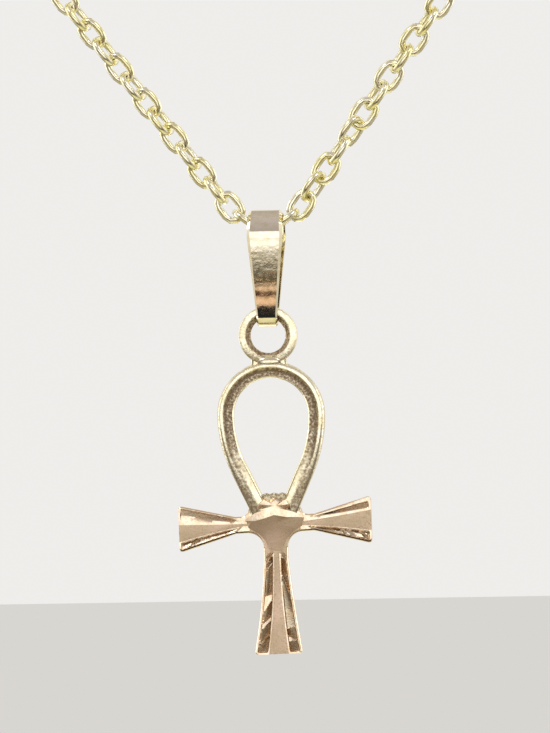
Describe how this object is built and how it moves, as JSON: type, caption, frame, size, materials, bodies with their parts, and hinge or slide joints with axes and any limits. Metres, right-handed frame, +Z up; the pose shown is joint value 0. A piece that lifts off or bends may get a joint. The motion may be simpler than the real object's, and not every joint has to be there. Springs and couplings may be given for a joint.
{
  "type": "ankh pendant necklace with its cable chain",
  "caption": "Gold ankh pendant with relief on its limbs, hung by a ring in a folded tapering bail on a closed oval cable chain with a bolt ring clasp.",
  "frame": {"origin": "middle of the clasp at the nape, where the closed chain hangs on the neck", "axes": "+Z up, front of the pendant towards -Y, +X to the right seen from the front"},
  "size_m": [0.119, 0.004, 0.186],
  "materials": {
    "chain_gold": "polished pale yellow gold",
    "bail_gold": "polished pale rose gold",
    "ankh_gold": "frosted cast rose gold with bright cut edges"
  },
  "bodies": {
    "necklace": {"chain_left": "chain_gold", "chain_right": "chain_gold", "bolt_ring_clasp": "chain_gold", "end_ring": "chain_gold"},
    "bail": {"bail": "bail_gold"},
    "ankh": {"ankh": "ankh_gold"}
  },
  "joints": [
    {"name": "bail_swing", "type": "hinge", "parent": "necklace", "child": "bail", "pos_m": [0, 0, -0.14985], "axis": [1, 0, 0], "range_deg": [-90, 90]},
    {"name": "ankh_swing", "type": "hinge", "parent": "bail", "child": "ankh", "pos_m": [0, 0, -0.15585], "axis": [1, 0, 0], "range_deg": [-90, 90]}
  ]
}
